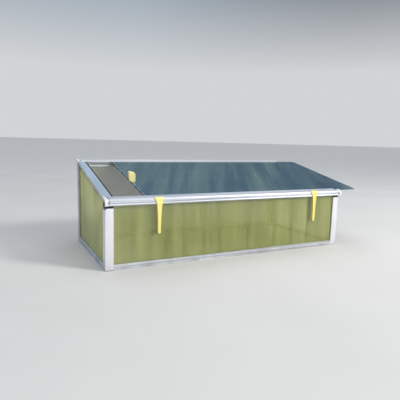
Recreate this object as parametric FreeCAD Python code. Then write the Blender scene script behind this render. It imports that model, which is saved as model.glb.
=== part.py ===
import FreeCAD, Part
import math
import os

"""Cold frame: an aluminium frame glazed with twin-wall sheet. The pane of its hinged lid slides sideways.

Row frame, in millimetres: +X along the frame to the right, +Y to the back, +Z up.
The origin is on the ground, at the middle of the underside of the front bottom rail.
"""

# ---------------------------------------------------------------- driving dimensions
LENGTH = 1500.0            # over the corner posts
DEPTH = 680.0              # over the corner posts
POST_LEG = 42.0            # length of each leg of a corner post's L
POST_THICK = 20.0          # thickness of the legs, and of the walls
POST_TOP_FRONT = 308.0
FOOT = 2.0                 # thickness of the plastic foot under each post
BOTTOM_RAIL_HEIGHT = 28.0
TOP_RAIL_HEIGHT = 16.0
RAIL_INSET = 1.0           # the rails' outer faces lie this far inside the posts' faces
WALL = 1.6                 # wall of the extrusions

SHEET = 6.0                # twin-wall sheet, overall thickness
SKIN = 0.8
RIB = 0.7
RIB_PITCH = 10.4
SHEET_GAP = 0.35           # between a sheet and the slot that holds it
BOTTOM_SLOT = 12.0         # slot depths
TOP_SLOT = 10.0
POST_SLOT = 14.0
SLOT_END_GAP = 1.0

LID_ANGLE = 12.5           # slope of the lid, in degrees
LID_START = 35.0           # the top plane of the lid starts this far behind the posts' front faces
LID_HEIGHT = 361.0         # and this far above the ground
LID_LENGTH = 625.0         # between the mouths of the front and the rear channel, along the slope
LID_THICK = 12.0
LID_INSET = 10.0           # the side rails start this far inside the posts' outer faces
LID_SIDE_WIDTH = 31.0
FLANGE = 2.5               # flanges above and below the pane's channel
CHANNEL = 7.0              # height of the pane's channel
CHANNEL_DEPTH = 16.0
LID_FACE = -11.0           # front face of the lid, from the posts' front faces
NOSE_RADIUS = 12.0
CHAMBER_RADIUS = 4.5       # rounding of the hollow behind the nose
SKIRT = 15.0               # depth of the side rails' outer skirts
LID_RAIL_INSET = 20.0      # the lid's front and rear rails end this far inside the posts' outer faces
CAP_OUTSET = 2.0           # the lid's end caps stand out this far past the posts' outer faces
RIGHT_CAP_SHIFT = 7.0      # and the front right one this much farther, clear of the pane's way
CAP_THICK = 15.0
CAP_GAP = 7.0              # shadow gap between an end cap's cheek and the rail

LIP_Y = -10.0              # round lip along the bottom of the lid's front face
LIP_Z = 326.0
LIP_RADIUS = 5.0

HINGE_BACK = 697.0         # hinge axis, from the posts' front faces
HINGE_PIN_RADIUS = 4.0
HINGE_CLEARANCE = 0.3
HINGE_CLAW_RADIUS = 7.2
HINGE_NECK_ANGLE = 228.0   # direction from the axis to the neck that carries the round bead
HINGE_CLAW_FROM = -6.0     # the claw of the lid covers these angles about the axis
HINGE_CLAW_TO = 204.0

BASE_SEAL = -13.6          # level of the top of the gable rails, square to the lid's top plane
GABLE_BOTTOM = BASE_SEAL - TOP_RAIL_HEIGHT
POST_CAP_TOP = -15.0        # level of the top of the rear post caps
POST_CAP_THICK = 2.0
SILL_TOP = 338.0
REAR_RAIL_TOP = 481.5

PANE_LENGTH = 1452.0
PANE_LEFT = 210.0          # left edge of the pane as it stands open, from the left posts' outer faces
PANE_ENGAGED = 12.0        # how far the pane reaches into each channel
TRIM_WALL = 0.8
TRIM_LEG = 8.0
GASKET_WIDTH = 8.0         # the rubber lip along the left side rail, which the pane closes against
GROOVE_WIDTH = 3.6         # V grooves along the top of the left side rail
GROOVE_DEPTH = 1.4

PROP_PLACES = (272.0, 1285.0)   # middles of the two prop arms, from the left posts' outer faces
PROP_CLEARANCE = 0.3
PROP_BOTTOM = 176.0

BRACKET_LEG = 60.0
BRACKET_THICK = 2.5
LOWER_SCREW_HEIGHT = 9.5        # screws of the lower brackets, above the ground
UPPER_SCREW_DROP = 9.0          # screws of the upper brackets, below the top of the rail
SHANK_RADIUS = 1.9
DRILL_RADIUS = 2.0
HEAD_RADIUS = 3.6

# ---------------------------------------------------------------- derived places
LEFT = -LENGTH / 2
RIGHT = LENGTH / 2
FRONT = -POST_THICK / 2    # outer face of the front posts
BACK = FRONT + DEPTH
SLOPE = math.radians(LID_ANGLE)
SLOT_FROM = POST_THICK / 2 - SHEET / 2 - SHEET_GAP    # sheet slots, from the outer face
SLOT_TO = POST_THICK / 2 + SHEET / 2 + SHEET_GAP
SIDE_SHEET_TOP = BASE_SEAL - WALL - SLOT_END_GAP       # level of the side sheets' top ends
PANE_TOP = -FLANGE - (CHANNEL - SHEET) / 2            # level of the pane's top face
PANE_BOTTOM = PANE_TOP - SHEET
CHAMBER_START = -CHANNEL_DEPTH - 2.0                  # front end of the lid channel's back wall
Vector = FreeCAD.Vector
SIDES = (("left", 1), ("right", -1))
CAP_REACH = LEFT + LID_RAIL_INSET + 28.0              # the caps' tongues reach this far into the rails


def lid_point(along, level):
    """(y, z) of a place on the lid: its distance up the slope, and its level above the lid's top plane."""
    y = FRONT + LID_START + along * math.cos(SLOPE) - level * math.sin(SLOPE)
    z = LID_HEIGHT + along * math.sin(SLOPE) + level * math.cos(SLOPE)
    return y, z


def height_at(y, level):
    """Height of the plane parallel to the lid's top plane at that level, over the given y."""
    return LID_HEIGHT + (y - FRONT - LID_START) * math.tan(SLOPE) + level / math.cos(SLOPE)


HINGE_Y = FRONT + HINGE_BACK
HINGE_Z = height_at(HINGE_Y, -HINGE_CLAW_RADIUS)


# ---------------------------------------------------------------- helpers
def plane_x(x):
    return lambda a, b: Vector(x, a, b)


def plane_y(y):
    return lambda a, b: Vector(a, y, b)


def plane_z(z):
    return lambda a, b: Vector(a, b, z)


def loop(points, place, radii=None):
    """A closed wire through 2-D points. A corner listed in radii, {index: radius}, is rounded."""
    radii = radii or {}
    corners = []
    for i, point in enumerate(points):
        here = Vector(*point, 0)
        if i not in radii:
            corners.append((here,))
            continue
        back = (Vector(*points[i - 1], 0) - here).normalize()
        ahead = (Vector(*points[(i + 1) % len(points)], 0) - here).normalize()
        half = back.getAngle(ahead) / 2
        cut = radii[i] / math.tan(half)
        inward = (back + ahead).normalize()
        middle = here + inward * (radii[i] / math.sin(half) - radii[i])
        corners.append((here + back * cut, middle, here + ahead * cut))
    edges = []
    for i, corner in enumerate(corners):
        if len(corner) == 3:
            edges.append(Part.Arc(*[place(p.x, p.y) for p in corner]).toShape())
        start, end = corner[-1], corners[(i + 1) % len(corners)][0]
        if start.distanceToPoint(end) > 1e-6:
            edges.append(Part.makeLine(place(start.x, start.y), place(end.x, end.y)))
    return Part.Wire(Part.__sortEdges__(edges))


def rectangle(a0, a1, b0, b1):
    return [(a0, b0), (a1, b0), (a1, b1), (a0, b1)]


def section(outer, holes, place, radii=None):
    """A flat face from an outline and hollow outlines, all as 2-D points."""
    wires = [loop(outer, place, radii)] + [loop(hole, place) for hole in holes]
    return Part.makeFace(wires, "Part::FaceMakerBullseye")


def along_x(outer, x0, x1, holes=(), radii=None):
    """A prism along X from an outline in (y, z)."""
    return section(outer, holes, plane_x(x0), radii).extrude(Vector(x1 - x0, 0, 0))


def along_y(outer, y0, y1, holes=(), radii=None):
    """A prism along Y from an outline in (x, z)."""
    return section(outer, holes, plane_y(y0), radii).extrude(Vector(0, y1 - y0, 0))


def along_z(outer, z0, z1, holes=(), radii=None):
    """A prism along Z from an outline in (x, y)."""
    return section(outer, holes, plane_z(z0), radii).extrude(Vector(0, 0, z1 - z0))


def block(x0, x1, y0, y1, z0, z1):
    return Part.makeBox(x1 - x0, y1 - y0, z1 - z0, Vector(x0, y0, z0))


def on_lid(shape):
    """Lays a shape made in (x, distance up the slope, level) on the lid."""
    shape = shape.copy()
    shape.rotate(Vector(0, 0, 0), Vector(1, 0, 0), LID_ANGLE)
    shape.translate(Vector(0, FRONT + LID_START, LID_HEIGHT))
    return shape


def below_slope(level):
    """A large solid under the plane at that level of the lid."""
    return on_lid(block(-2000, 2000, -1000, 2000, -1500, level))


def mirrored(shape, side):
    """The shape as made for the left end, or its mirror image for the right end."""
    return shape if side > 0 else shape.mirror(Vector(0, 0, 0), Vector(1, 0, 0))


def turned_back(shape):
    """The mirror image of a front piece in the plane half way to the back."""
    return shape.mirror(Vector(0, (FRONT + BACK) / 2, 0), Vector(0, 1, 0))


def cylinder(radius, start, end):
    axis = end - start
    return Part.makeCylinder(radius, axis.Length, start, axis)


parts = {}


# ---------------------------------------------------------------- extruded sections
def post_section(place):
    """L-shaped corner post, its outer corner at the left front, with a sheet slot in the end of each leg."""
    leg, thick, deep = POST_LEG, POST_THICK, POST_LEG - POST_SLOT
    outer = [(0, 0), (leg, 0), (leg, SLOT_FROM), (deep, SLOT_FROM), (deep, SLOT_TO), (leg, SLOT_TO),
             (leg, thick), (thick, thick), (thick, leg), (SLOT_TO, leg), (SLOT_TO, deep),
             (SLOT_FROM, deep), (SLOT_FROM, leg), (0, leg)]
    near, far = thick - WALL, deep - WALL
    holes = [rectangle(WALL, near, WALL, near), rectangle(thick, far, WALL, near),
             rectangle(WALL, near, thick, far),
             rectangle(deep, leg - WALL, WALL, SLOT_FROM - WALL),
             rectangle(deep, leg - WALL, SLOT_TO + WALL, near),
             rectangle(WALL, SLOT_FROM - WALL, deep, leg - WALL),
             rectangle(SLOT_TO + WALL, near, deep, leg - WALL)]
    shift = lambda points: [(LEFT + a, FRONT + b) for a, b in points]
    radii = {0: 3.0, 1: 1.0, 6: 1.0, 8: 1.0, 13: 1.0}
    return section(shift(outer), [shift(h) for h in holes], place, radii)


def rail_outline(height, slot):
    """Outline and hollows of a wall rail as (distance from the post's outer face, height), slot upward."""
    near, far, groove = RAIL_INSET, POST_THICK, height * 0.68
    outer = [(near, 0), (far, 0), (far, height), (SLOT_TO, height), (SLOT_TO, height - slot),
             (SLOT_FROM, height - slot), (SLOT_FROM, height), (near, height),
             (near, groove + 0.7), (near + 0.7, groove), (near, groove - 0.7)]
    chamber_top = height - slot - WALL
    holes = [rectangle(near + WALL, far - WALL, WALL, chamber_top),
             rectangle(near + WALL, SLOT_FROM - WALL, chamber_top + WALL, height - WALL),
             rectangle(SLOT_TO + WALL, far - WALL, chamber_top + WALL, height - WALL)]
    return outer, holes


# ---------------------------------------------------------------- screws
screw_groups = {"bracket_screws": [], "lid_plate_screws": [], "lid_cap_screws": [], "grip_screws": []}


def screw(group, point, inward, length):
    """Adds a pan-head cross-slot screw. point is under its head, and its shank runs the way of inward."""
    inward = inward.normalize()
    dome = Part.makeCone(HEAD_RADIUS, HEAD_RADIUS - 0.5, 1.2, point, inward * -1)
    top = Part.makeCone(HEAD_RADIUS - 0.5, HEAD_RADIUS - 1.6, 0.9, point - inward * 1.2, inward * -1)
    body = dome.fuse(top).fuse(cylinder(SHANK_RADIUS, point, point + inward * length))
    side = inward.cross(Vector(1, 0, 0) if abs(inward.x) < 0.9 else Vector(0, 1, 0)).normalize()
    for arm in (side, inward.cross(side)):
        other = inward.cross(arm)
        corner = point - inward * 2.2 - arm * 2.1 - other * 0.45
        slot = Part.Face(Part.makePolygon([corner, corner + arm * 4.2, corner + arm * 4.2 + other * 0.9,
                                           corner + other * 0.9, corner])).extrude(inward * 1.2)
        body = body.cut(slot)
    screw_groups[group].append((body, cylinder(DRILL_RADIUS, point, point + inward * (length + 0.5))))


def drill(names, group):
    """Cuts the holes of a group's screws in the named parts."""
    for name in names:
        box = parts[name].BoundBox
        tools = [tool for _, tool in screw_groups[group] if box.intersect(tool.BoundBox)]
        if tools:
            parts[name] = parts[name].cut(tools)


# ---------------------------------------------------------------- the base: posts, rails, feet and caps
def post_tray(depth, z0, z1):
    """An L-shaped slab inside the outline of a left front post, set in by depth."""
    far = POST_THICK - depth
    points = [(depth, depth), (POST_LEG, depth), (POST_LEG, far), (far, far), (far, POST_LEG),
              (depth, POST_LEG)]
    return along_z([(LEFT + a, FRONT + b) for a, b in points], z0, z1)


def sheet_slots(z0, z1):
    """The space of the two sheets beside a left front post."""
    near, far, deep = SLOT_FROM, SLOT_TO, POST_LEG - POST_SLOT
    return [block(LEFT + deep, LEFT + POST_LEG + 1, FRONT + near, FRONT + far, z0, z1),
            block(LEFT + near, LEFT + far, FRONT + deep, FRONT + POST_LEG + 1, z0, z1)]


def post_plug(z0, z1):
    """A plug for the corner hollow of a left front post."""
    a, b = WALL + 0.3, POST_THICK - WALL - 0.3
    return block(LEFT + a, LEFT + b, FRONT + a, FRONT + b, z0, z1)


def make_posts():
    chamfer = 8.0
    top = POST_TOP_FRONT
    nick = along_y([(LEFT - 1, top - chamfer - 1), (LEFT + chamfer + 1, top + 1), (LEFT - 1, top + 1)],
                   FRONT - 1, FRONT + POST_LEG + 1)
    front_post = post_section(plane_z(FOOT)).extrude(Vector(0, 0, top - FOOT)).cut(nick)
    rear_post = turned_back(post_section(plane_z(FOOT)).extrude(Vector(0, 0, 540.0)))
    rear_post = rear_post.common(below_slope(POST_CAP_TOP - POST_CAP_THICK))
    foot = post_tray(0.5, 0, FOOT).fuse(post_plug(FOOT, FOOT + 14.0))
    connector = post_tray(2.0, top, SILL_TOP - TOP_RAIL_HEIGHT)
    riser = block(LEFT + 2, LEFT + POST_THICK - 2, FRONT + 2, FRONT + POST_LEG, top, SILL_TOP)
    filler = block(LEFT + SLOT_FROM + 0.2, LEFT + SLOT_TO - 0.2, FRONT + 2, FRONT + POST_LEG,
                   top, SILL_TOP + 20)
    connector = connector.fuse(riser.common(below_slope(GABLE_BOTTOM)))
    connector = connector.fuse(filler.common(below_slope(BASE_SEAL - WALL - 0.1)))
    connector = connector.fuse(post_plug(top - 18.0, top)).cut(sheet_slots(top - 20, SILL_TOP + 20)).cut(nick)
    under_cap = below_slope(POST_CAP_TOP - POST_CAP_THICK)
    cap = turned_back(post_tray(0.5, 440, 540)).common(below_slope(POST_CAP_TOP)).cut(under_cap)
    cap = cap.fuse(turned_back(post_plug(460, 540)).common(under_cap))
    sheet_room = turned_back(sheet_slots(440, 540)[1]).common(below_slope(SIDE_SHEET_TOP + 0.3))
    cap = cap.cut(sheet_room)
    for side, hand in SIDES:
        parts[f"front_{side}_post"] = mirrored(front_post, hand)
        parts[f"rear_{side}_post"] = mirrored(rear_post, hand)
        parts[f"front_{side}_foot"] = mirrored(foot, hand)
        parts[f"rear_{side}_foot"] = mirrored(turned_back(foot), hand)
        parts[f"front_{side}_connector"] = mirrored(connector, hand)
        parts[f"rear_{side}_post_cap"] = mirrored(cap, hand)


def make_bottom_rails():
    outer, holes = rail_outline(BOTTOM_RAIL_HEIGHT, BOTTOM_SLOT)
    shift = lambda points: [(FRONT + a, b) for a, b in points]
    front = along_x(shift(outer), LEFT + POST_LEG, RIGHT - POST_LEG, [shift(h) for h in holes])
    shift = lambda points: [(LEFT + a, b) for a, b in points]
    side_rail = along_y(shift(outer), FRONT + POST_LEG, BACK - POST_LEG, [shift(h) for h in holes])
    parts["front_bottom_rail"] = front
    parts["rear_bottom_rail"] = turned_back(front)
    for side, hand in SIDES:
        parts[f"{side}_bottom_rail"] = mirrored(side_rail, hand)


def make_top_rails():
    outer, holes = rail_outline(TOP_RAIL_HEIGHT, TOP_SLOT)
    drop = lambda points, top: [(FRONT + a, top - b) for a, b in points]
    sill_end = POST_THICK + 0.5
    parts["front_sill_rail"] = along_x(drop(outer, SILL_TOP), LEFT + sill_end, RIGHT - sill_end,
                                       [drop(h, SILL_TOP) for h in holes])
    hang = lambda points: [(LEFT + a, BASE_SEAL - b) for a, b in points]
    lip, far, low = SLOT_FROM - 1.4, POST_THICK, TOP_RAIL_HEIGHT
    gable_outline = [(lip, 0), (far, 0), (far, low), (SLOT_TO, low), (SLOT_TO, WALL), (SLOT_FROM, WALL),
                     (SLOT_FROM, 4.4), (lip, 4.4)]
    hollow = rectangle(SLOT_TO + WALL, far - WALL, WALL, low - WALL)
    gable = on_lid(along_y(hang(gable_outline), -200, 900, [hang(hollow)]))
    gable = gable.common(block(LEFT - 10, RIGHT, FRONT + RAIL_INSET, BACK - POST_LEG, 0, 600))
    seal = on_lid(along_y(rectangle(LEFT + 11, LEFT + 17, BASE_SEAL, BASE_SEAL + 1.2), 0, LID_LENGTH - 30))
    for side, hand in SIDES:
        parts[f"{side}_gable_rail"] = mirrored(gable, hand)
        parts[f"{side}_gable_seal"] = mirrored(seal, hand)
    parts["front_sill_seal"] = along_x(rectangle(FRONT + 3, FRONT + 9, SILL_TOP, SILL_TOP + 2.6),
                                       LEFT + sill_end + 2, RIGHT - sill_end - 2)
    parts["rear_hinge_rail"] = rear_hinge_rail(outer, holes)


def rear_hinge_rail(outer, holes):
    """The rear top rail, with the round bead that the lid turns on."""
    turn = lambda points: [(BACK - a, REAR_RAIL_TOP - b) for a, b in points]
    x0, x1 = LEFT + POST_LEG, RIGHT - POST_LEG
    rail = along_x(turn(outer), x0, x1, [turn(h) for h in holes])
    bead = cylinder(HINGE_PIN_RADIUS, Vector(x0, HINGE_Y, HINGE_Z), Vector(x1, HINGE_Y, HINGE_Z))
    angle = math.radians(HINGE_NECK_ANGLE)
    out = (math.cos(angle), math.sin(angle))
    across = (-out[1] * 1.25, out[0] * 1.25)
    reach = (HINGE_Y - (BACK - RAIL_INSET - WALL / 2)) / -out[0]
    root = (HINGE_Y + out[0] * reach, HINGE_Z + out[1] * reach)
    neck = [(HINGE_Y + across[0], HINGE_Z + across[1]), (HINGE_Y - across[0], HINGE_Z - across[1]),
            (root[0] - across[0], root[1] - across[1]), (root[0] + across[0], root[1] + across[1])]
    return rail.fuse(along_x(neck, x0, x1).fuse(bead)).removeSplitter()


# ---------------------------------------------------------------- glazing
def twin_wall_section(start, end, place):
    """A twin-wall sheet's cross-section: two skins and even ribs. place takes (across, thickness)."""
    cells = round((end - start - RIB) / RIB_PITCH)
    pitch = (end - start - RIB) / cells
    low, high = -SHEET / 2, SHEET / 2
    holes = [rectangle(start + RIB + i * pitch, start + (i + 1) * pitch, low + SKIN, high - SKIN)
             for i in range(cells)]
    return section(rectangle(start, end, low, high), holes, place)


def make_wall_sheets():
    edge = POST_LEG - POST_SLOT + SLOT_END_GAP + 1.0
    bottom = BOTTOM_RAIL_HEIGHT - BOTTOM_SLOT + SLOT_END_GAP
    middle = POST_THICK / 2
    for name, y, top in (("front_sheet", FRONT + middle, SILL_TOP - TOP_RAIL_HEIGHT + TOP_SLOT),
                         ("rear_sheet", BACK - middle, REAR_RAIL_TOP - TOP_RAIL_HEIGHT + TOP_SLOT)):
        face = twin_wall_section(LEFT + edge, RIGHT - edge, lambda a, b: Vector(a, y + b, bottom))
        parts[name] = face.extrude(Vector(0, 0, top - SLOT_END_GAP - bottom))
    face = twin_wall_section(FRONT + edge, BACK - edge, lambda a, b: Vector(LEFT + middle + b, a, bottom))
    side_sheet = face.extrude(Vector(0, 0, 520.0)).common(below_slope(SIDE_SHEET_TOP))
    for side, hand in SIDES:
        parts[f"{side}_sheet"] = mirrored(side_sheet, hand)


# ---------------------------------------------------------------- corner brackets of the base
def make_brackets():
    inner_x, inner_y = LEFT + POST_THICK, FRONT + POST_THICK
    reach, thick = BRACKET_LEG, BRACKET_THICK

    def bracket(x_leg_low, x_leg_high, side_leg):
        return block(inner_x, inner_x + reach, inner_y, inner_y + thick, x_leg_low, x_leg_high).fuse(side_leg)

    low0, low1 = LOWER_SCREW_HEIGHT - 6.5, LOWER_SCREW_HEIGHT + 6.5
    low = bracket(low0, low1, block(inner_x, inner_x + thick, inner_y, inner_y + reach, low0, low1))
    sloped = on_lid(block(inner_x, inner_x + thick, -400, 1200, GABLE_BOTTOM + 2, BASE_SEAL - 2))
    front_leg = sloped.common(block(LEFT, 0, inner_y, inner_y + reach, 0, 600))
    sill_middle = SILL_TOP - UPPER_SCREW_DROP
    high_front = bracket(sill_middle - 6, sill_middle + 6, front_leg)
    rear_inner = BACK - POST_THICK
    rear_leg = sloped.common(block(LEFT, 0, rear_inner - reach, rear_inner, 0, 600))
    rear_middle = REAR_RAIL_TOP - UPPER_SCREW_DROP
    high_rear = block(inner_x, inner_x + reach, rear_inner - thick, rear_inner,
                      rear_middle - 6, rear_middle + 6).fuse(rear_leg)
    for side, hand in SIDES:
        parts[f"front_{side}_lower_bracket"] = mirrored(low, hand)
        parts[f"rear_{side}_lower_bracket"] = mirrored(turned_back(low), hand)
        parts[f"front_{side}_upper_bracket"] = mirrored(high_front, hand)
        parts[f"rear_{side}_upper_bracket"] = mirrored(high_rear, hand)
        for step in (14.0, 48.0):
            for y, out, z in ((inner_y, 1, LOWER_SCREW_HEIGHT), (BACK - POST_THICK, -1, LOWER_SCREW_HEIGHT),
                              (inner_y, 1, sill_middle), (BACK - POST_THICK, -1, rear_middle)):
                screw("bracket_screws", Vector(hand * (inner_x + step), y + out * thick, z),
                      Vector(0, -out, 0), thick + 4.0)
                across = y + out * step
                level = z if z < BOTTOM_RAIL_HEIGHT else height_at(across, BASE_SEAL - UPPER_SCREW_DROP)
                screw("bracket_screws", Vector(hand * (inner_x + thick), across, level),
                      Vector(-hand, 0, 0), thick + 4.0)
    drill([n for n in parts if n.endswith(("_post", "_rail", "_bracket", "_connector"))], "bracket_screws")


# ---------------------------------------------------------------- the lid's frame
def face_point(y, level):
    """(y, z) where a level of the lid meets a plane at y, given from the posts' front faces."""
    return FRONT + y, height_at(FRONT + y, level)


def front_rail_chamber(gap):
    """The closed hollow behind the lid's front face, made smaller all round by gap."""
    points = [lid_point(CHAMBER_START - gap, -FLANGE - gap), face_point(LID_FACE + 2 + gap, -FLANGE - gap),
              face_point(LID_FACE + 2 + gap, -FLANGE - CHANNEL + gap),
              lid_point(CHAMBER_START - gap, -FLANGE - CHANNEL + gap)]
    return points


def make_lid_front_rail():
    x0, x1 = LEFT + LID_RAIL_INSET, RIGHT - LID_RAIL_INSET
    lip = (FRONT + LIP_Y, LIP_Z)
    outer = [lid_point(0, 0), face_point(LID_FACE, 0), (FRONT + LID_FACE, lip[1]),
             (FRONT + LID_FACE + 2, lip[1]), face_point(LID_FACE + 2, -LID_THICK), lid_point(0, -LID_THICK),
             lid_point(0, -FLANGE - CHANNEL), lid_point(-CHANNEL_DEPTH, -FLANGE - CHANNEL),
             lid_point(-CHANNEL_DEPTH, -FLANGE), lid_point(0, -FLANGE)]
    rail = along_x(outer, x0, x1, radii={1: NOSE_RADIUS})
    chamber = along_x(front_rail_chamber(0), x0, x1, radii={1: CHAMBER_RADIUS})
    reach = CAP_GAP - 2.0
    bead = cylinder(LIP_RADIUS, Vector(x0 - reach, *lip), Vector(x1 + reach, *lip))
    bore = cylinder(LIP_RADIUS - 1.8, Vector(x0 - reach, *lip), Vector(x1 + reach, *lip))
    face = FRONT + LID_FACE
    groove_z = height_at(face, 0) - NOSE_RADIUS
    grooves = [along_x([(face - 1, z + 1.4), (face + 0.5, z), (face - 1, z - 1.4)], x0, x1)
               for z in (groove_z, groove_z - 4.0)]
    rail = rail.cut(chamber).fuse(bead).removeSplitter().cut([bore, *grooves])
    parts["lid_front_rail"] = rail


def claw_outline():
    """The lid's hinge claw as a ring sector about the axis, in (y, z)."""
    inner, outer = HINGE_PIN_RADIUS + HINGE_CLEARANCE, HINGE_CLAW_RADIUS
    at = lambda r, deg: (HINGE_Y + r * math.cos(math.radians(deg)), HINGE_Z + r * math.sin(math.radians(deg)))
    place = plane_x(0)
    start, end = HINGE_CLAW_FROM, HINGE_CLAW_TO
    middle = (start + end) / 2
    edges = [Part.Arc(place(*at(outer, start)), place(*at(outer, middle)), place(*at(outer, end))).toShape(),
             Part.makeLine(place(*at(outer, end)), place(*at(inner, end))),
             Part.Arc(place(*at(inner, end)), place(*at(inner, middle)), place(*at(inner, start))).toShape(),
             Part.makeLine(place(*at(inner, start)), place(*at(outer, start)))]
    return Part.Face(Part.Wire(edges))


def make_lid_rear_rail():
    x0, x1 = LEFT + LID_RAIL_INSET, RIGHT - LID_RAIL_INSET
    mouth, back = LID_LENGTH, LID_LENGTH + CHANNEL_DEPTH
    over_axis = (HINGE_Y - FRONT - LID_START) / math.cos(SLOPE) - HINGE_CLAW_RADIUS * math.tan(SLOPE)
    outer = [lid_point(mouth, 0), lid_point(mouth, -FLANGE), lid_point(back, -FLANGE),
             lid_point(back, -FLANGE - CHANNEL), lid_point(mouth, -FLANGE - CHANNEL),
             lid_point(mouth, -LID_THICK), lid_point(back + 2, -LID_THICK), lid_point(back + 2, -FLANGE),
             lid_point(over_axis, -FLANGE), lid_point(over_axis, 0)]
    rail = along_x(outer, x0, x1)
    claw = claw_outline().extrude(Vector(x1 - x0, 0, 0))
    claw.translate(Vector(x0, 0, 0))
    parts["lid_rear_rail"] = rail.fuse(claw).removeSplitter()


def make_lid_side_rails():
    x0, x1 = LEFT + LID_INSET, LEFT + LID_INSET + LID_SIDE_WIDTH
    middle = (x0 + x1) / 2
    edge, plate = LEFT + 1.5, 2.2
    outer = [(edge, -SKIRT), (edge + WALL, -SKIRT), (edge + WALL, -plate), (x0, -plate), (x0, -LID_THICK),
             (x1, -LID_THICK), (x1, 0)]
    for groove in (x1 - 6.0, middle, x0 + 6.0, x0 - 1.5):
        outer += [(groove + GROOVE_WIDTH / 2, 0), (groove, -GROOVE_DEPTH), (groove - GROOVE_WIDTH / 2, 0)]
    outer.append((edge, 0))
    hollows = [rectangle(x0 + WALL, middle - WALL / 2, -LID_THICK + WALL, -2.4),
               rectangle(middle + WALL / 2, x1 - WALL, -LID_THICK + WALL, -2.4)]
    skirt_end = block(-LENGTH, LENGTH, LID_LENGTH - 13.0, LID_LENGTH + 1, -SKIRT - 1, -LID_THICK + 2)
    over_post = skirt_end.common(block(LEFT, edge + WALL, 0, LID_LENGTH + 1, -SKIRT - 1, 0))
    rail = along_y(outer, 0, LID_LENGTH, hollows, {6: 0.8, len(outer) - 1: 1.5})
    parts["lid_left_rail"] = on_lid(rail.cut(over_post))
    low, notch = PANE_BOTTOM - TRIM_WALL - 0.6, 64.0
    angle = [(-x1, -LID_THICK), (-edge - WALL, -LID_THICK), (-edge - WALL, -SKIRT), (-edge, -SKIRT),
             (-edge, low), (-x1, low)]
    flat = along_y(angle, 0, LID_LENGTH).cut(mirrored(over_post, -1))
    stiffener = along_y(rectangle(-x1, -x1 + 2, -28, -LID_THICK), notch, LID_LENGTH - notch)
    parts["lid_right_rail"] = on_lid(flat.fuse(stiffener).removeSplitter())
    tip = x1 + GASKET_WIDTH
    gasket = [(x1, -10), (tip - 1.0, -10), (tip, -5.5), (tip - 0.4, -0.4), (x1, -0.4)]
    parts["lid_left_gasket"] = on_lid(along_y(gasket, 1, LID_LENGTH - 1))


def front_cap(shift):
    """The lid's front left end cap, shift farther out: a cheek, a tongue in the rail and a pin in the lip."""
    x0 = LEFT - CAP_OUTSET - shift
    x1 = x0 + CAP_THICK
    over, front, low = 1.0, -15.5, 320.5
    cheek = [lid_point(-1, over), face_point(front, over), (FRONT + front, low), (FRONT - 4.5, low),
             face_point(-4.5, -LID_THICK), lid_point(-1, -LID_THICK)]
    body = along_x(cheek, x0, x1, radii={1: 22.0, 2: 3.0, 3: 3.0})
    tongue = along_x(front_rail_chamber(0.4), x1, CAP_REACH, radii={1: CHAMBER_RADIUS})
    lip = (FRONT + LIP_Y, LIP_Z)
    lip_pin = cylinder(LIP_RADIUS - 2.2, Vector(x1, *lip), Vector(CAP_REACH, *lip))
    return body.fuse([tongue, lip_pin])


def rear_cap():
    """The lid's rear left end cap: a cheek over the post, and a stub in line with the hinge's bead."""
    x0, x1 = LEFT - CAP_OUTSET, LEFT - CAP_OUTSET + CAP_THICK
    over, start = 1.0, LID_LENGTH + 1.0
    slab = along_x([lid_point(start, over), lid_point(start, -LID_THICK), lid_point(LID_LENGTH + 20, -LID_THICK),
                    (HINGE_Y, HINGE_Z), (HINGE_Y, HINGE_Z + 8.4)], x0, x1)
    disc = cylinder(HINGE_CLAW_RADIUS + 1.3, Vector(x0, HINGE_Y, HINGE_Z), Vector(x1, HINGE_Y, HINGE_Z))
    stub_end = LEFT + POST_LEG - 0.5
    stub = cylinder(HINGE_PIN_RADIUS - 0.2, Vector(x1, HINGE_Y, HINGE_Z), Vector(stub_end, HINGE_Y, HINGE_Z))
    return slab.fuse([disc, stub])


def make_lid_caps():
    top, bottom, end = -FLANGE - 0.4, -FLANGE - CHANNEL + 0.4, LID_LENGTH + 15.5
    filler = along_x([lid_point(LID_LENGTH + 1, top), lid_point(LID_LENGTH + 1, bottom), lid_point(end, bottom),
                      lid_point(end, top)], LEFT - CAP_OUTSET + CAP_THICK, CAP_REACH - 8.0)
    path = on_lid(block(0, RIGHT + 50, -CHANNEL_DEPTH, LID_LENGTH + CHANNEL_DEPTH, PANE_BOTTOM - 1.2, 20))
    parts["lid_front_left_cap"] = front_cap(0)
    parts["lid_rear_left_cap"] = rear_cap().fuse(filler)
    parts["lid_front_right_cap"] = mirrored(front_cap(RIGHT_CAP_SHIFT), -1).cut(path)
    parts["lid_rear_right_cap"] = mirrored(rear_cap(), -1).cut(path)
    for side, hand in SIDES:
        screw("lid_cap_screws", Vector(hand * (LEFT + 27.0), *lid_point(-29.0, 0)),
              Vector(0, math.sin(SLOPE), -math.cos(SLOPE)), 7.0)
    drill(["lid_front_rail", "lid_front_left_cap", "lid_front_right_cap"], "lid_cap_screws")


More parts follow.
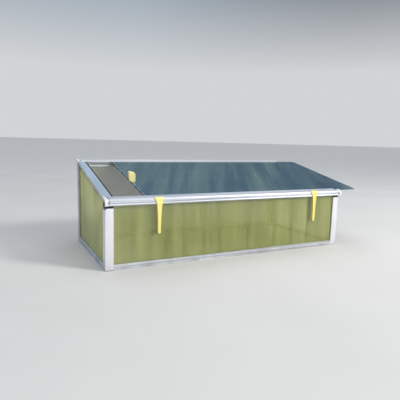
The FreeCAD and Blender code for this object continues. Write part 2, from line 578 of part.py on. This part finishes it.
def make_lid_plates():
    """Flat L-shaped plates that join the lid's rails from below, with their screws."""
    x0, x1, x2 = LEFT + 22, LEFT + 40, LEFT + 76
    under, thick = -LID_THICK, BRACKET_THICK
    front = [(x0, -17), (x2, -17), (x2, -1), (x1, -1), (x1, 60), (x0, 60)]
    rear = [(a, LID_LENGTH - b) for a, b in front]
    inward = Vector(0, -math.sin(SLOPE), math.cos(SLOPE))
    for end, points in (("front", front), ("rear", rear)):
        plate = on_lid(along_z(points, under - thick, under, radii={1: 3.0, 2: 3.0, 4: 3.0, 5: 3.0}))
        for side, hand in SIDES:
            parts[f"lid_{end}_{side}_plate"] = mirrored(plate, hand)
            for a, b in ((x1 + 10, -9), (x2 - 9, -9), (x0 + 9, 20), (x0 + 9, 50)):
                along = b if end == "front" else LID_LENGTH - b
                screw("lid_plate_screws", Vector(hand * a, *lid_point(along, under - thick)), inward, 4.0)
    drill([n for n in parts if n.startswith("lid_") and n.endswith(("_rail", "_plate"))], "lid_plate_screws")


# ---------------------------------------------------------------- the sliding pane
def make_pane():
    x0, x1 = LEFT + PANE_LEFT, LEFT + PANE_LEFT + PANE_LENGTH
    middle = (PANE_TOP + PANE_BOTTOM) / 2
    face = twin_wall_section(-PANE_ENGAGED, LID_LENGTH + PANE_ENGAGED, lambda a, b: Vector(x0, a, middle + b))
    parts["pane_sheet"] = on_lid(face.extrude(Vector(x1 - x0, 0, 0)))
    top, bottom = PANE_TOP + TRIM_WALL, PANE_BOTTOM - TRIM_WALL
    for name, edge, way in (("pane_left_trim", x0, 1), ("pane_right_trim", x1, -1)):
        back, tip = edge - way * (TRIM_WALL + 0.2), edge + way * TRIM_LEG
        channel = [(back, bottom), (tip, bottom), (tip, PANE_BOTTOM), (edge - way * 0.2, PANE_BOTTOM),
                   (edge - way * 0.2, PANE_TOP), (tip, PANE_TOP), (tip, top), (back, top)]
        parts[name] = on_lid(along_y(channel, 1.5, LID_LENGTH - 1.5))
    make_grip(x0)


def make_grip(pane_edge):
    """The stout finger grip at the pane's left edge, leaning out past it and screwed from below."""
    v, half, middle = 236.0, 13.0, pane_edge + 15.0
    outline = [(1, 0), (23, 0), (20, 48), (-15, 58), (-17, 36), (-8, 4.2), (1, 4.2)]
    body = along_y([(pane_edge + a, PANE_TOP + b) for a, b in outline], v - half, v + half,
                   radii={2: 7.0, 3: 6.0, 4: 6.0})
    step = block(pane_edge - 1, pane_edge + TRIM_LEG + 0.4, v - 40, v + 40,
                 PANE_TOP - 1, PANE_TOP + TRIM_WALL + 0.1)
    parts["pane_grip"] = on_lid(body.cut(step))
    for side in (-7.0, 7.0):
        screw("grip_screws", Vector(middle, *lid_point(v + side, PANE_BOTTOM)),
              Vector(0, -math.sin(SLOPE), math.cos(SLOPE)), SHEET + 12.0)
    drill(["pane_grip", "pane_sheet"], "grip_screws")


# ---------------------------------------------------------------- prop arms
def arm_half_width(z, inset=0.0):
    """Half the width of a prop arm at a height: a slender stem that flares into a wide head."""
    return 6.8 + 0.018 * (z - PROP_BOTTOM) + 14.5 * math.exp((min(z, 352.0) - 352.0) / 28.0) - inset


def arm_outline(bottom, top, inset=0.0):
    """The arm's outline in (x, z), made smaller by inset."""
    steps = 18
    heights = [bottom + (top - bottom) * i / steps for i in range(steps + 1)]
    right = [(arm_half_width(z, inset), z) for z in heights]
    return [(-a, z) for a, z in right] + right[::-1]


def make_prop_arm():
    """One prop arm about x = 0: it clips on the round lip, and its hook covers the lid's front face."""
    axis_y, axis_z = FRONT + LIP_Y, LIP_Z
    inner, outer = LIP_RADIUS + PROP_CLEARANCE, LIP_RADIUS + PROP_CLEARANCE + 3.0
    mouth = [(axis_y, axis_z)]
    mouth += [(axis_y + 20 * math.cos(math.radians(d)), axis_z + 20 * math.sin(math.radians(d)))
              for d in (-28, 10, 50, 84, 110)]
    ring = cylinder(outer, Vector(-25, axis_y, axis_z), Vector(25, axis_y, axis_z)).cut(along_x(mouth, -26, 26))
    nose_y = FRONT + LID_FACE + NOSE_RADIUS
    nose_z = height_at(nose_y, 0) - NOSE_RADIUS / math.cos(SLOPE)
    nose_inner, nose_outer = NOSE_RADIUS + 1.2, NOSE_RADIUS + 4.8
    hook = cylinder(nose_outer, Vector(-25, nose_y, nose_z), Vector(25, nose_y, nose_z))
    end_angle = math.radians(116)
    hook = hook.common(along_x([(nose_y, nose_z), (nose_y - 40, nose_z),
                                (nose_y - 40, nose_z + 40), (nose_y + 40 * math.cos(end_angle),
                                                             nose_z + 40 * math.sin(end_angle))], -25, 25))
    hook = hook.cut(cylinder(nose_inner, Vector(-26, nose_y, nose_z), Vector(26, nose_y, nose_z)))
    face = block(-25, 25, nose_y - nose_outer, nose_y - nose_inner, axis_z + 2, nose_z)
    front, thick, deep, shallow = axis_y - outer, 3.2, 14.0, 10.5
    stem = along_x([(front, PROP_BOTTOM), (front + deep, PROP_BOTTOM), (front + deep, axis_z - 60),
                    (front + shallow, axis_z - 25), (front + shallow, axis_z), (front, axis_z)], -25, 25)
    body = ring.fuse([hook, face, stem])
    body = body.cut(cylinder(inner, Vector(-26, axis_y, axis_z), Vector(26, axis_y, axis_z)))
    body = body.common(along_y(arm_outline(PROP_BOTTOM, nose_z + nose_outer + 2), FRONT - 40, FRONT + 20))
    trough = along_y(arm_outline(PROP_BOTTOM + 2, axis_z - outer - 1.5, 1.9), front + thick, front + deep + 1)
    toe_profile = [(front, PROP_BOTTOM + 2), (front, PROP_BOTTOM - 6), (front + 15.5, PROP_BOTTOM - 6),
                   (front + 15.5, PROP_BOTTOM - 1), (front + thick, PROP_BOTTOM - 1),
                   (front + thick, PROP_BOTTOM + 2)]
    toe = along_x(toe_profile, -5.5, 5.5, radii={1: 4.0, 2: 2.4, 3: 2.4})
    return body.cut(trough).fuse(toe).removeSplitter()


def make_props():
    arm = make_prop_arm()
    for (side, _), place in zip(SIDES, PROP_PLACES):
        copy = arm.copy()
        copy.translate(Vector(LEFT + place, 0, 0))
        parts[f"{side}_prop_arm"] = copy


# ---------------------------------------------------------------- build and export
make_posts()
make_bottom_rails()
make_top_rails()
make_wall_sheets()
make_brackets()
make_lid_front_rail()
make_lid_rear_rail()
make_lid_side_rails()
make_lid_caps()
make_lid_plates()
make_pane()
make_props()
for group, screws in screw_groups.items():
    parts[group] = Part.makeCompound([body for body, _ in screws])

os.makedirs("parts", exist_ok=True)
for name, shape in parts.items():
    bad = not shape.isValid()
    if bad or len(shape.Solids) != len(screw_groups.get(name, [None])):
        print("CHECK", name, "solids", len(shape.Solids), "valid", not bad)
    shape.exportStep(f"parts/{name}.step")
print(len(parts), "parts")
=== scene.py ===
import math

import bpy
from mathutils import Matrix, Vector

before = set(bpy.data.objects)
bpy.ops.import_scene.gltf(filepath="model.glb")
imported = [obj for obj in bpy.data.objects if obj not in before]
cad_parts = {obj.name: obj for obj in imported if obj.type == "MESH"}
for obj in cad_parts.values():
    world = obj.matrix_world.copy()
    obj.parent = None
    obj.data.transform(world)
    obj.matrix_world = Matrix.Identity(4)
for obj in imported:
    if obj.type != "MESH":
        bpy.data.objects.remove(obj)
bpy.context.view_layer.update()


def rgb(red, green, blue):
    return (red, green, blue, 1.0)


def grey(value):
    return rgb(value, value, value)


# ---------------------------------------------------------------- node helpers
class Nodes:
    """A new material's node tree, with short ways to add what the materials below need."""

    def __init__(self, name):
        self.material = bpy.data.materials.new(name)
        self.material.use_nodes = True
        self.tree = self.material.node_tree
        self.shader = self.tree.nodes["Principled BSDF"]
        self.place = self.add("ShaderNodeTexCoord").outputs["Object"]

    def add(self, kind, **settings):
        node = self.tree.nodes.new(kind)
        for key, value in settings.items():
            setattr(node, key, value)
        return node

    def feed(self, socket, value):
        """Links a socket's output to this one, or sets it to a constant."""
        if isinstance(value, bpy.types.NodeSocket):
            self.tree.links.new(value, socket)
        else:
            socket.default_value = value

    def turned(self, degrees):
        """The place turned about the upright axis."""
        node = self.add("ShaderNodeMapping")
        self.feed(node.inputs["Vector"], self.place)
        node.inputs["Rotation"].default_value = (0.0, 0.0, math.radians(degrees))
        return node.outputs["Vector"]

    def stretched(self, scale, place=None):
        """The place scaled by its own factor along each axis."""
        node = self.add("ShaderNodeMapping")
        self.feed(node.inputs["Vector"], place or self.place)
        node.inputs["Scale"].default_value = scale
        return node.outputs["Vector"]

    def noise(self, place, scale=1.0, detail=3.0, roughness=0.5, distortion=0.0):
        node = self.add("ShaderNodeTexNoise")
        self.feed(node.inputs["Vector"], place)
        node.inputs["Scale"].default_value = scale
        node.inputs["Detail"].default_value = detail
        node.inputs["Roughness"].default_value = roughness
        node.inputs["Distortion"].default_value = distortion
        return node.outputs["Fac"]

    def ramp(self, value, low, high, to_low=0.0, to_high=1.0):
        """The value taken from the range low to high to the range to_low to to_high."""
        node = self.add("ShaderNodeMapRange", clamp=True)
        self.feed(node.inputs["Value"], value)
        node.inputs["From Min"].default_value = low
        node.inputs["From Max"].default_value = high
        node.inputs["To Min"].default_value = to_low
        node.inputs["To Max"].default_value = to_high
        return node.outputs["Result"]

    def math(self, operation, a, b):
        node = self.add("ShaderNodeMath", operation=operation)
        self.feed(node.inputs[0], a)
        self.feed(node.inputs[1], b)
        return node.outputs["Value"]

    def sum(self, a, b):
        return self.math("ADD", a, b)

    def times(self, a, b):
        return self.math("MULTIPLY", a, b)

    def mix(self, amount, a, b):
        node = self.add("ShaderNodeMix", data_type="RGBA")
        self.feed(node.inputs["Factor"], amount)
        self.feed(node.inputs["A"], a)
        self.feed(node.inputs["B"], b)
        return node.outputs["Result"]

    def bump(self, height, strength, distance):
        node = self.add("ShaderNodeBump")
        self.feed(node.inputs["Height"], height)
        node.inputs["Strength"].default_value = strength
        node.inputs["Distance"].default_value = distance
        self.feed(self.shader.inputs["Normal"], node.outputs["Normal"])

    def height_above_ground(self):
        node = self.add("ShaderNodeSeparateXYZ")
        self.feed(node.inputs["Vector"], self.place)
        return node.outputs["Z"]

    def set(self, **values):
        """Sets the shader's sockets, with _ for a space in their names, and gives the material."""
        for name, value in values.items():
            self.feed(self.shader.inputs[name.replace("_", " ")], value)
        return self.material


# ---------------------------------------------------------------- materials
# Noise scales count features per metre. A ramp starts from levels of noise between 0 and 1, or from a
# height in metres.
# The bands are partly die bands and partly painted shade: darker stripes along the grain, at random
# places, that stand in for the shade in a rail's grooves.
BAND_SCALE = 0.22           # bands along the grain, against the die lines
BAND_SHADE_TONE = 0.55            # their tone, against the dull one
DUST_TONE = grey(0.42)
SOIL_TONE = rgb(0.30, 0.24, 0.19)
SPLASH_HEIGHT = 0.035       # how far up the soil splashes, in metres
TWIN_WALL_IOR = 1.58
WATER_MARK_TONE = grey(0.6)


def aluminium(name, grain, base=rgb(0.72, 0.76, 0.82), dull=rgb(0.58, 0.62, 0.68),
              band_shade_strength=0.65, rough=0.38, metallic=0.5):
    """Extruded aluminium: die lines along the grain, darker bands along it that are partly painted groove
    shade, cloudy oxide, and soil near the ground.
    """
    n = Nodes(name)
    lines = n.noise(n.stretched(grain), detail=4.0, roughness=0.6)
    cloud = n.noise(n.place, scale=9.0, detail=4.0, roughness=0.55)
    specks = n.ramp(n.noise(n.place, scale=420.0, detail=2.0), 0.66, 0.74)
    bands = n.noise(n.stretched(tuple(BAND_SCALE * scale for scale in grain)), detail=1.0)
    band_shade_tone = rgb(*(BAND_SHADE_TONE * part for part in dull[:3]))
    near_ground = n.ramp(n.height_above_ground(), 0.0, SPLASH_HEIGHT, 1.0, 0.0)
    splash = n.times(near_ground, n.ramp(cloud, 0.35, 0.6))

    tone = n.mix(n.ramp(cloud, 0.40, 0.72), base, dull)
    # Painted shade: the darker bands along the grain.
    tone = n.mix(n.ramp(bands, 0.45, 0.62, 0.0, band_shade_strength), tone, band_shade_tone)
    tone = n.mix(n.times(specks, 0.35), tone, DUST_TONE)
    tone = n.mix(n.times(splash, 0.45), tone, SOIL_TONE)
    spread = n.sum(n.ramp(lines, 0.3, 0.7, -0.07, 0.09),
                   n.ramp(cloud, 0.3, 0.8, rough - 0.04, rough + 0.1))
    n.bump(n.sum(lines, n.times(specks, 0.4)), strength=0.18, distance=0.0004)
    return n.set(Base_Color=tone, Metallic=metallic, Roughness=n.sum(spread, n.times(splash, 0.25)))


def twin_wall(name, flutes, drift, turn, clear, hazy, tint, alpha, rough):
    """Twin-wall sheet: a clear glossy skin with streaks along its flutes, broad streaks in the tint tone,
    haze and dried water marks. On the pane the broad slanting streaks are a painted reflection.
    """
    n = Nodes(name)
    fine = n.noise(n.stretched(flutes), detail=2.0)
    broad = n.noise(n.stretched(drift, n.turned(turn)), roughness=0.6, distortion=0.2)
    haze = n.noise(n.place, scale=3.2, detail=4.0, roughness=0.6, distortion=0.6)
    marks = n.ramp(n.noise(n.place, scale=60.0, roughness=0.6), 0.64, 0.74)

    tone = n.mix(n.ramp(haze, 0.35, 0.7), clear, hazy)
    # On the pane these broad streaks are painted reflections.
    tone = n.mix(n.ramp(broad, 0.42, 0.66), tone, tint)
    tone = n.mix(n.ramp(fine, 0.40, 0.62, 0.0, 0.35), tone, tint)
    tone = n.mix(n.times(marks, 0.08), tone, WATER_MARK_TONE)
    spread = n.sum(n.ramp(broad, 0.3, 0.7, rough, rough + 0.10), n.times(marks, 0.12))
    n.bump(fine, strength=0.25, distance=0.0009)
    return n.set(Base_Color=tone, Roughness=spread, Alpha=alpha, IOR=TWIN_WALL_IOR)


def upright_wall(name, clear, hazy, tint, alpha):
    """A wall's sheet, whose flutes and streaks run upright."""
    return twin_wall(name, flutes=(95.0, 95.0, 1.5), drift=(22.0, 22.0, 1.2), turn=0.0,
                     clear=clear, hazy=hazy, tint=tint, alpha=alpha, rough=0.12)


def yellow_plastic(name, deep, light):
    """Moulded yellow plastic: slightly translucent, with flow marks, fine grain and scuffs."""
    n = Nodes(name)
    flow = n.noise(n.stretched((14.0, 14.0, 3.0)), distortion=1.2)
    grain = n.noise(n.place, scale=900.0, detail=2.0)
    scuffs = n.ramp(n.noise(n.stretched((260.0, 260.0, 45.0)), detail=4.0, roughness=0.7), 0.60, 0.78)

    tone = n.mix(n.ramp(flow, 0.35, 0.65), deep, light)
    tone = n.mix(n.times(scuffs, 0.25), tone, rgb(0.95, 0.86, 0.50))
    rough = n.sum(n.ramp(grain, 0.3, 0.7, 0.30, 0.38), n.times(scuffs, 0.2))
    n.bump(n.sum(n.times(grain, 0.5), scuffs), strength=0.12, distance=0.0003)
    return n.set(Base_Color=tone, Roughness=rough, Subsurface_Weight=0.12,
                 Subsurface_Radius=(1.0, 0.55, 0.12), Subsurface_Scale=0.002, IOR=1.5)


def moulded(name, base, worn, rough):
    """Moulded plastic: spark-eroded grain, cloudy tone, and paler scuffed patches."""
    n = Nodes(name)
    grain = n.noise(n.place, scale=1300.0, detail=2.0)
    cloud = n.noise(n.place, scale=28.0, detail=4.0, roughness=0.6)
    scuffs = n.ramp(n.noise(n.place, scale=240.0, detail=4.0, roughness=0.7), 0.60, 0.75)

    tone = n.mix(n.ramp(cloud, 0.4, 0.7), base, worn)
    tone = n.mix(n.times(scuffs, 0.25), tone, worn)
    spread = n.sum(n.ramp(cloud, 0.3, 0.7, rough - 0.06, rough + 0.06), n.times(scuffs, 0.12))
    n.bump(grain, strength=0.22, distance=0.0003)
    return n.set(Base_Color=tone, Roughness=spread)


def rubber(name):
    """Black rubber seal with bloom and dust."""
    n = Nodes(name)
    bloom = n.noise(n.stretched((30.0, 30.0, 30.0)), detail=4.0, roughness=0.65)
    grain = n.noise(n.place, scale=1500.0, detail=2.0)

    tone = n.mix(n.ramp(bloom, 0.45, 0.75, 0.0, 0.6), grey(0.010), grey(0.035))
    n.bump(grain, strength=0.3, distance=0.0003)
    return n.set(Base_Color=tone, Roughness=n.ramp(bloom, 0.3, 0.7, 0.62, 0.82),
                 Specular_IOR_Level=0.1)


def zinc(name):
    """Zinc-plated steel, bright and mottled."""
    n = Nodes(name)
    mottle = n.noise(n.place, scale=380.0, roughness=0.6)

    tone = n.mix(n.ramp(mottle, 0.4, 0.65), rgb(0.62, 0.63, 0.64), rgb(0.44, 0.43, 0.40))
    n.bump(mottle, strength=0.2, distance=0.0002)
    return n.set(Base_Color=tone, Metallic=1.0, Roughness=n.ramp(mottle, 0.3, 0.7, 0.26, 0.46))


# Grain scales: across the die lines and along them. A bar's grain is the same in every direction.
FINE, LONG, EVEN = 620.0, 5.0, 90.0

# The real frame has one aluminium. The tones here differ because they hold part of the light on it: the
# front posts' near-white tone is painted light, the lid's rear rail's near-white tone is a painted
# highlight, the side rails' blue is a painted reflection of the sky with painted shade, and the rear
# posts' grey is painted shade.
rails_along_x = aluminium("aluminium_along_x", (LONG, FINE, FINE))
# Painted highlight: the lid's rear rail is the same aluminium, given a near-white tone for the sun's
# glint on it.
lid_rear_rail = aluminium("aluminium_rear_rail_painted_highlight", (LONG, FINE, FINE),
                          base=rgb(0.92, 0.93, 0.95), dull=rgb(0.80, 0.81, 0.84))
# Painted reflection and painted shade: the side rails are the same aluminium, given a darker blue tone
# for the sky mirrored in them and the shade on their outer faces.
side_rails_painted_reflection = aluminium("aluminium_along_slope_painted_reflection", (FINE, LONG, 0.0),
                       base=rgb(0.60, 0.71, 0.82), dull=rgb(0.49, 0.58, 0.69))
# Painted light: the front posts are the same aluminium, given a near-white tone for the sun on their
# front faces.
front_posts_painted_light = aluminium("aluminium_upright_painted_light", (FINE, FINE, LONG),
                        base=rgb(0.92, 0.93, 0.98), dull=rgb(0.82, 0.83, 0.88),
                        band_shade_strength=0.08, metallic=0.8)
# Painted shade: the rear posts are the same aluminium, given a darker grey.
rear_posts_painted_shade = aluminium("aluminium_rear_upright_painted_shade", (FINE, FINE, LONG),
                       base=rgb(0.56, 0.58, 0.60), dull=rgb(0.45, 0.47, 0.49),
                       band_shade_strength=0.15, metallic=0.8)
bar = aluminium("aluminium_bar", (EVEN, EVEN, EVEN),
                base=rgb(0.74, 0.74, 0.75), dull=rgb(0.55, 0.55, 0.56), band_shade_strength=0.2, rough=0.42)

# The sheets are clear in fact. Their green stands in for what shows through them outdoors. The pane's
# blue and its slanting streaks are a painted reflection of the sky.
# The left sheet's lighter tone is painted light, and the darker rear and right sheets are painted shade.
front_wall = upright_wall("twin_wall_upright", alpha=0.24, clear=rgb(0.46, 0.50, 0.13),
                          hazy=rgb(0.60, 0.62, 0.24), tint=rgb(0.34, 0.38, 0.09))
# Painted light: the left sheet is the same twin-wall, given a lighter tone.
left_wall_painted_light = upright_wall("twin_wall_side_painted_light", alpha=0.30, clear=rgb(0.78, 0.80, 0.32),
                         hazy=rgb(0.86, 0.87, 0.44), tint=rgb(0.56, 0.60, 0.22))
# Painted shade: the rear and right sheets are the same twin-wall, given a darker tone.
far_walls_painted_shade = upright_wall("twin_wall_rear_painted_shade", alpha=0.24, clear=rgb(0.25, 0.28, 0.12),
                         hazy=rgb(0.34, 0.36, 0.20), tint=rgb(0.17, 0.20, 0.08))
# Painted reflection: the pane's slate blue and its broad streaks, turned 27 degrees, stand in for the sky
# mirrored in it.
pane = twin_wall("twin_wall_pane", flutes=(1.5, 95.0, 20.0), drift=(11.0, 0.7, 0.7), turn=27.0,
                 clear=rgb(0.060, 0.114, 0.182), hazy=rgb(0.086, 0.148, 0.200),
                 tint=rgb(0.165, 0.250, 0.255), alpha=0.60, rough=0.09)

trim = moulded("tinted_edge_plastic",
               base=rgb(0.09, 0.14, 0.19), worn=rgb(0.18, 0.25, 0.31), rough=0.25)
black = moulded("black_plastic", base=grey(0.008), worn=grey(0.03), rough=0.55)
pale = moulded("light_grey_plastic",
               base=rgb(0.68, 0.70, 0.73), worn=rgb(0.78, 0.79, 0.81), rough=0.42)
yellow = yellow_plastic("yellow_plastic",
                        deep=rgb(0.90, 0.74, 0.19), light=rgb(0.94, 0.82, 0.30))
# Painted light: the grip is the same yellow plastic in a lighter copy, as if the sun fell on it.
yellow_painted_light = yellow_plastic("yellow_plastic_painted_light",
                             deep=rgb(0.97, 0.85, 0.29), light=rgb(0.99, 0.90, 0.43))
seal = rubber("seal_rubber")
steel = zinc("zinc_plated_steel")

MATERIAL_BY_NAME = {
    "pane_grip": yellow_painted_light,
    "pane_sheet": pane,
    "front_sheet": front_wall,
    "left_sheet": left_wall_painted_light,
    "rear_sheet": far_walls_painted_shade,
    "right_sheet": far_walls_painted_shade,
    "rear_left_post": rear_posts_painted_shade,
    "rear_right_post": rear_posts_painted_shade,
    "lid_rear_rail": lid_rear_rail,
}
# The first ending that fits counts, so a post's cap is black and the lid's caps are pale.
MATERIAL_BY_ENDING = (
    ("_screws", steel),
    ("_prop_arm", yellow),
    (("_foot", "_connector", "_post_cap"), black),
    ("_cap", pale),
    (("_seal", "_gasket"), seal),
    ("_trim", trim),
    (("_bracket", "_plate"), bar),
    ("_post", front_posts_painted_light),
)
SIDE_RAILS = ("left_", "right_", "lid_left", "lid_right")


def material_for(node):
    if node in MATERIAL_BY_NAME:
        return MATERIAL_BY_NAME[node]
    for ending, material in MATERIAL_BY_ENDING:
        if node.endswith(ending):
            return material
    return side_rails_painted_reflection if node.startswith(SIDE_RAILS) else rails_along_x


# ---------------------------------------------------------------- soft edges
SOFT_EDGES = ("_post", "_cap", "_bracket", "_plate", "_connector", "_foot", "prop_arm", "pane_grip")
SOFT_WIDTH = 0.0004         # metres, for the pieces without a width of their own
OWN_SOFT_WIDTH = {"left_prop_arm": 0.0011, "right_prop_arm": 0.0011, "pane_grip": 0.0022}
WELD_DISTANCE = 0.00001
SOFT_SEGMENTS = 2
SHARP_ANGLE = math.radians(35.0)


def soften(thing, width):
    """Joins the mesh along its faces' borders and rounds its sharp edges a little."""
    weld = thing.modifiers.new("join_faces", "WELD")
    weld.merge_threshold = WELD_DISTANCE
    bevel = thing.modifiers.new("soft_edges", "BEVEL")
    bevel.width = width
    bevel.segments = SOFT_SEGMENTS
    bevel.limit_method = "ANGLE"
    bevel.angle_limit = SHARP_ANGLE
    bevel.harden_normals = False


for node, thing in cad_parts.items():
    thing.data.materials.clear()
    thing.data.materials.append(material_for(node))
    if node.endswith(SOFT_EDGES):
        soften(thing, OWN_SOFT_WIDTH.get(node, SOFT_WIDTH))


# ---------------------------------------------------------------- stage, lights and camera
FLOOR_REACH = 300.0         # metres from the middle to each side
FLOOR_LEVEL = -0.0006       # just under the feet
FLOOR_TONES = rgb(0.60, 0.595, 0.58), rgb(0.64, 0.635, 0.62)

# Name, place, where it points, size in metres, power in watts, colour
LAMPS = (
    ("key", (4.3, -4.6, 4.4), (0.0, 0.1, 0.2), 1.9, 417.0, (1.0, 0.97, 0.92)),
    ("front", (0.4, -4.6, 1.2), (0.0, 0.0, 0.2), 2.6, 15.0, (1.0, 1.0, 1.0)),
)
WORLD_STRENGTH = 0.8

CAMERA_PLACE = Vector((-1.226, -1.919, 0.637))
CAMERA_TURN = 0.475         # radians to the right
CAMERA_TILT = 0.142         # radians down
CAMERA_ROLL = 0.027         # radians about its own axis
CAMERA_LENS = 36.88         # millimetres, for the sensor below
CAMERA_SENSOR = 36.0
SHEETS_PASSED = 64          # how many clear surfaces a ray may cross


def make_floor():
    n = Nodes("floor_paint")
    tone = n.mix(n.ramp(n.noise(n.place, scale=1.3), 0.3, 0.7), *FLOOR_TONES)
    signs = (-1, -1), (1, -1), (1, 1), (-1, 1)
    corners = [(x * FLOOR_REACH, y * FLOOR_REACH, FLOOR_LEVEL) for x, y in signs]
    mesh = bpy.data.meshes.new("studio_floor")
    mesh.from_pydata(corners, [], [(0, 1, 2, 3)])
    mesh.materials.append(n.set(Base_Color=tone, Roughness=0.9))
    floor = bpy.data.objects.new("studio_floor", mesh)
    bpy.context.scene.collection.objects.link(floor)


def make_world():
    """A pale horizon, slate blue above it, a bright zenith and front, and a dim left side."""
    world = bpy.data.worlds.new("studio_world")
    world.use_nodes = True
    tree = world.node_tree
    background = tree.nodes["Background"]
    way = tree.nodes.new("ShaderNodeSeparateXYZ")
    tree.links.new(tree.nodes.new("ShaderNodeTexCoord").outputs["Generated"], way.inputs["Vector"])

    def blend(axis, low, high, under, over):
        """One tone below the low limit along an axis, another above the high one."""
        spread = tree.nodes.new("ShaderNodeMapRange")
        spread.inputs["From Min"].default_value = low
        spread.inputs["From Max"].default_value = high
        tree.links.new(way.outputs[axis], spread.inputs["Value"])
        mix = tree.nodes.new("ShaderNodeMix")
        mix.data_type = "RGBA"
        tree.links.new(spread.outputs["Result"], mix.inputs["Factor"])
        for name, tone in (("A", under), ("B", over)):
            if isinstance(tone, tuple):
                mix.inputs[name].default_value = tone
            else:
                tree.links.new(tone, mix.inputs[name])
        return mix.outputs["Result"]

    slate = blend("X", 0.30, 0.70, rgb(0.26, 0.37, 0.47), rgb(0.03, 0.07, 0.12))
    tone = blend("Z", 0.16, 0.40, rgb(0.80, 0.82, 0.84), slate)
    tone = blend("Z", 0.62, 0.85, tone, rgb(1.7, 1.75, 1.85))
    tone = blend("Y", -0.2, -0.85, tone, rgb(0.80, 0.80, 0.84))
    tone = blend("X", -0.35, -0.95, tone, rgb(0.16, 0.18, 0.22))
    tree.links.new(tone, background.inputs["Color"])
    background.inputs["Strength"].default_value = WORLD_STRENGTH
    bpy.context.scene.world = world


def make_lamp(name, place, target, size, power, colour):
    light = bpy.data.lights.new(name, "AREA")
    light.shape = "DISK"
    light.size = size
    light.energy = power
    light.color = colour
    lamp = bpy.data.objects.new(name, light)
    lamp.location = place
    lamp.rotation_euler = (Vector(target) - Vector(place)).to_track_quat("-Z", "Y").to_euler()
    bpy.context.scene.collection.objects.link(lamp)


def make_camera():
    """The camera stands in front of the left end and looks to the right and a little down."""
    sine, cosine = math.sin(CAMERA_TURN), math.cos(CAMERA_TURN)
    level, drop = math.cos(CAMERA_TILT), math.sin(CAMERA_TILT)
    right = Vector((cosine, -sine, 0.0))
    ahead = Vector((sine * level, cosine * level, -drop))
    up = right.cross(ahead)
    side = right * math.cos(CAMERA_ROLL) + up * math.sin(CAMERA_ROLL)
    top = up * math.cos(CAMERA_ROLL) - right * math.sin(CAMERA_ROLL)
    data = bpy.data.cameras.new("photo_camera")
    data.lens = CAMERA_LENS
    data.sensor_width = CAMERA_SENSOR
    camera = bpy.data.objects.new("photo_camera", data)
    facing = Matrix((side, top, -ahead)).transposed().to_4x4()
    camera.matrix_world = Matrix.Translation(CAMERA_PLACE) @ facing
    bpy.context.scene.collection.objects.link(camera)
    bpy.context.scene.camera = camera


make_floor()
make_world()
for lamp in LAMPS:
    make_lamp(*lamp)
make_camera()
bpy.context.scene.cycles.transparent_max_bounces = SHEETS_PASSED
bpy.context.scene.view_settings.view_transform = "Standard"
